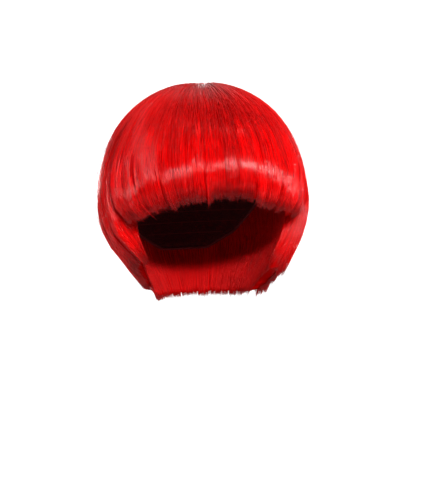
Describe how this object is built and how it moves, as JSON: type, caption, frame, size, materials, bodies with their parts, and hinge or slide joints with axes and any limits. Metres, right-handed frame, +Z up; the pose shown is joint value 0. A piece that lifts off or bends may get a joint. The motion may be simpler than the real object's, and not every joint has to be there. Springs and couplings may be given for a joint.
{
  "type": "wig",
  "caption": "Smooth mushroom-cut wig with a rounded fringe, turned-under sides and back over a fitted open cap",
  "frame": {"origin": "crown seat: the top of the cap's inside, where the top of the wearer's head carries the wig", "axes": "+Z up, the wearer faces -Y, the wearer's left is +X; Y, front to back, is the longest extent"},
  "size_m": [0.208, 0.2229, 0.208],
  "materials": {
    "cap_net": "stretch net with sewn seams",
    "hair_fibre": "glossy straight synthetic fibre"
  },
  "bodies": {
    "root": {"wig_cap": "cap_net", "crown_hair": "hair_fibre", "fringe": "hair_fibre", "side_hair_right": "hair_fibre", "side_hair_left": "hair_fibre", "back_hair": "hair_fibre", "nape_hair": "hair_fibre"}
  },
  "joints": []
}
